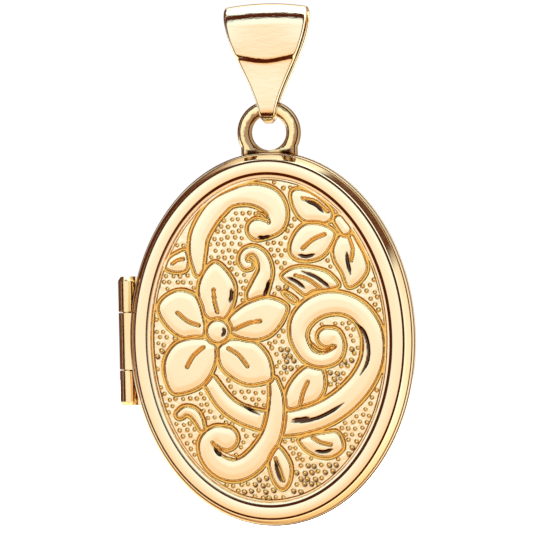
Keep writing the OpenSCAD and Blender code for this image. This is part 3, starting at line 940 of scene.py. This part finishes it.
def survey(at):
    """For each point: distance to the nearest visible edge, whether it is on a motif, distance to a vein."""
    edge = np.full(len(at), 9.0)
    on_motif = np.zeros(len(at), bool)
    for motif in MOTIFS:
        close = near(at, motif[1], 1.4)
        gap = motif_distance(at[close], motif)
        edge[close] = np.where(gap < 0, -gap, np.minimum(edge[close], gap))
        on_motif[close] |= gap < 0
    vein = np.full(len(at), 9.0)
    for points in VEINS:
        close = near(at, points, 0.6)
        vein[close] = np.minimum(vein[close], distance_to_line(at[close], smooth_line(points)))
    return edge, on_motif, vein


# %% Turn distances into depths
CUT_HALF = 0.10
BORDER_LINE = 0.12
CUT_DEPTH = 0.15
GROUND_DEPTH = 0.10
VEIN_HALF = 0.09
DENT_HALF = 0.13
DENT_DEPTH = 0.47 * DENT_HALF
PILLOW_DROP = 0.035


def ease(value, low, high):
    t = np.clip((value - low) / (high - low), 0, 1)
    return t * t * (3 - 2 * t)


def border_distance(at):
    """How far points lie inside the edge of the panel, in mm."""
    share = np.sqrt(panel_depth(at)[1]) + 1e-9
    return np.hypot(at[:, 0], at[:, 1]) * (1 / share - 1)


def dents(at):
    """0 to 1 for how deep a point lies in a dent, which tapers out at both ends."""
    deep = np.zeros(len(at))
    for points in DENTS:
        line = smooth_line(points, per_span=16)
        for (x, z), along in zip(line, np.linspace(0, 1, len(line))):
            half = DENT_HALF * min(1, 0.45 + 2.5 * min(along, 1 - along))
            deep = np.maximum(deep, np.clip((half - np.hypot(at[:, 0] - x, at[:, 1] - z)) / DENT_HALF, 0, 1))
    return deep


def painted_dot_shade(at, dot_centres):
    """0 to 1 for the shade painted in the gaps just below and to the right of most dots near those places."""
    deep = np.zeros(len(at))
    for x, z, reach in DOT_SHADE_PLACES:
        close = dot_centres[np.hypot(dot_centres[:, 0] - x, dot_centres[:, 1] - z) < reach]
        for dot_x, dot_z in close[[i % 3 > 0 for i in range(len(close))]]:
            gap = np.hypot(at[:, 0] - dot_x - 0.05, at[:, 1] - dot_z + 0.06)
            deep = np.maximum(deep, 1 - ease(gap, DOT_RADIUS - 0.02, DOT_RADIUS + 0.03))
    return deep


def relief(at):
    """Height in mm against the panel's own surface, and how much a point is cut, open ground or dented."""
    edge, on_motif, vein = survey(at)
    edge = np.minimum(edge, np.abs(border_distance(at) - BORDER_LINE) + 0.03)
    in_cut = 1 - ease(edge, CUT_HALF - 0.045, CUT_HALF + 0.02)
    in_vein = 1 - ease(vein, VEIN_HALF - 0.04, VEIN_HALF + 0.02)
    pillow = -PILLOW_DROP * (1 - ease(edge, CUT_HALF, 0.5))
    land = np.where(on_motif, pillow, -GROUND_DEPTH)
    dent = np.where(on_motif, dents(at), 0.0)
    land = land - DENT_DEPTH * dent
    height = land * (1 - in_cut) - CUT_DEPTH * in_cut
    height = np.minimum(height, land - (CUT_DEPTH - 0.03) * in_vein)
    cut = np.maximum(1 - ease(edge, CUT_HALF - 0.02, CUT_HALF + 0.06),
                     1 - ease(vein, VEIN_HALF - 0.02, VEIN_HALF + 0.05))
    ground = np.where(on_motif, 0.0, 1.0) * (1 - in_cut)
    return height, cut, ground, ease(dent, 0.08, 0.3)


# %% [markdown]
# The grid's corners are pulled in so that it fills an oval with no pole in the middle. Its points then drop
# to their depths, its border is turned down, and the underside is closed flat.

# %% Strike the panel
field_w = half_w - field_inset * MM
field_h = half_h - field_inset * MM
panel_floor = crown - 0.262
GRID_ACROSS, GRID_UP = 250, 354


def panel_depth(at):
    """Depth of the plain domed panel in mm at points given in mm."""
    reach = (at[:, 0] * MM / field_w) ** 2 + (at[:, 1] * MM / field_h) ** 2
    return panel_edge + panel_dome * (1 - reach), reach


# %% [markdown]
# A matting punch will leave the ground covered with small raised dots. Their places are chosen first, in
# rows that are each a little off, because shade is painted into the ground beside some of the dots.

# %% Choose where the punch strikes
DOT_PITCH = 0.41
DOT_RADIUS = 0.15
DOT_LOWNESS = 0.58
DOT_DRIFT = 0.06
dot_dice = random.Random(7)


def dot_places():
    places = []
    row = 0
    up = -field_h / MM
    while up < field_h / MM:
        across = -field_w / MM + DOT_PITCH / 2 * (row % 2)
        while across < field_w / MM:
            places.append((across + dot_dice.uniform(-DOT_DRIFT, DOT_DRIFT),
                           up + dot_dice.uniform(-DOT_DRIFT, DOT_DRIFT)))
            across += DOT_PITCH
        up += DOT_PITCH * 0.87
        row += 1
    return np.array(places)


places = dot_places()
edge, on_motif, _ = survey(places)
free = ~on_motif & (edge > CUT_HALF + DOT_RADIUS * 0.5) & (border_distance(places) > BORDER_LINE + 0.16)
places = places[free]
print(len(places), "dots")

# %% Strike the grid to its depths
start_clean()
bpy.ops.mesh.primitive_grid_add(x_subdivisions=GRID_ACROSS, y_subdivisions=GRID_UP, size=2,
                                rotation=(math.pi / 2, 0, 0))
bpy.ops.object.transform_apply(location=False, rotation=True, scale=False)
panel = bpy.context.object
points = np.empty(len(panel.data.vertices) * 3)
panel.data.vertices.foreach_get("co", points)
points = points.reshape(-1, 3)
across, up = points[:, 0].copy(), points[:, 2].copy()
points[:, 0] = across * np.sqrt(1 - up ** 2 / 2) * field_w
points[:, 2] = up * np.sqrt(1 - across ** 2 / 2) * field_h
at_mm = points[:, [0, 2]] / MM
height, in_cut, ground, dent = relief(at_mm)
depth, reach = panel_depth(at_mm)
turned_down = 0.08 * ease(reach, 0.985, 1.0)
points[:, 1] = parting_y - (depth + height - turned_down) * MM
points[:, 2] += case_z
panel.data.vertices.foreach_set("co", points.ravel())
# Painted shade: the dents and the gaps beside some dots are marked dark, to be painted near-black brown.
dark = np.maximum(ground * painted_dot_shade(at_mm, places), dent)
for attribute, values in (("cut", in_cut), ("ground", ground), ("dark", dark)):
    panel.data.attributes.new(attribute, "FLOAT", "POINT").data.foreach_set("value", values)
panel.data.update()

bpy.ops.object.mode_set(mode="EDIT")
bpy.ops.mesh.select_all(action="DESELECT")
bpy.ops.mesh.select_mode(type="EDGE")
bpy.ops.mesh.select_non_manifold()
bpy.ops.mesh.extrude_region_move()
floor_y = parting_y - panel_floor * MM
bpy.ops.transform.resize(value=(1, 0, 1), center_override=(0, floor_y, 0))
bpy.ops.mesh.edge_face_add()
bpy.ops.object.mode_set(mode="OBJECT")

# %% [markdown]
# The panel's finish is one metal with several surfaces. The attributes made above say where the cut lines,
# the open ground and the dark places are. In the cut lines the gold turns satin and deeper in colour,
# because light bounces twice inside a cut. In the dents and in the gaps beside some dots of the ground,
# shade and a dark reflection are painted into the colour as a near-black brown.

# %% Finish the panel
def engraved_finish():
    finish = polished_gold.copy()
    finish.name = "engraved_gold"
    tree = finish.node_tree
    shader = tree.nodes["Principled BSDF"]
    cut, ground, dark = [add_node(tree, "ShaderNodeAttribute", attribute_name=name).outputs["Fac"]
                         for name in ("cut", "ground", "dark")]
    blend_in(tree, shader.inputs["Base Color"], ground, (1.0, 0.79, 0.49, 1))
    blend_in(tree, shader.inputs["Base Color"], cut, (1.0, 0.55, 0.12, 1))
    blend_in(tree, shader.inputs["Roughness"], ground, grey(0.16))
    blend_in(tree, shader.inputs["Roughness"], cut, grey(0.34))
    # Painted shade and dark reflection: the dents and the gaps beside some dots go near-black brown.
    blend_in(tree, shader.inputs["Base Color"], dark, (0.10, 0.045, 0.025, 1))
    place = tree.nodes.new("ShaderNodeTexCoord").outputs["Object"]
    uneven = add_noise(tree, place, Scale=2600.0, Detail=2.0)
    struck = add_node(tree, "ShaderNodeBump", Distance=0.2 * MM)
    tree.links.new(scale_between(tree, ground, 0, 1, to_high=0.25), struck.inputs["Strength"])
    tree.links.new(uneven, struck.inputs["Height"])
    tree.links.new(shader.inputs["Normal"].links[0].from_socket, struck.inputs["Normal"])
    tree.links.new(struck.outputs["Normal"], shader.inputs["Normal"])
    return finish


engraved_gold = engraved_finish()
finish_piece(panel, "engraved_panel", "lid", engraved_gold, smooth_angle=60)

# %% [markdown]
# ### The stippled ground
# One dot is half of a low ball, closed underneath. It is copied to every place chosen above, each a little
# larger or smaller than the next, and all are joined as one piece.

# %% Punch the ground
punched_gold = gold_finish("punched_gold", (1.0, 0.66, 0.24), (0.94, 0.54, 0.15), 0.10, 0.22, 0.15, 6000.0)
depths = panel_depth(places)[0] - GROUND_DEPTH
start_clean()
bpy.ops.mesh.primitive_uv_sphere_add(segments=10, ring_count=6, radius=1, rotation=(math.pi / 2, 0, 0))
bpy.ops.object.transform_apply(location=False, rotation=True, scale=False)
bpy.ops.object.mode_set(mode="EDIT")
bpy.ops.mesh.select_all(action="SELECT")
bpy.ops.mesh.bisect(plane_co=(0, 0.1, 0), plane_no=(0, 1, 0), use_fill=True, clear_outer=True)
bpy.ops.object.mode_set(mode="OBJECT")
dot = bpy.context.object
dots = [dot]
for (x, z), depth in zip(places, depths):
    copy = dot.copy()
    copy.data = dot.data.copy()
    size = DOT_RADIUS * dot_dice.uniform(0.88, 1.08) * MM
    copy.scale = (size, size * DOT_LOWNESS, size)
    copy.location = (x * MM, parting_y - depth * MM, case_z + z * MM)
    bpy.context.scene.collection.objects.link(copy)
    copy.select_set(True)
    dots.append(copy)
bpy.context.view_layer.objects.active = dots[1]
dots[0].select_set(False)
bpy.ops.object.join()
bpy.data.objects.remove(dot)
bpy.ops.object.transform_apply(location=True, rotation=True, scale=True)
finish_piece(bpy.context.object, "ground_stippling", "lid", punched_gold, smooth_angle=80)

# %% Finish and report
shell_box = [round(v / MM, 2) for v in front_shell.dimensions]
print("front shell size (mm):", shell_box)
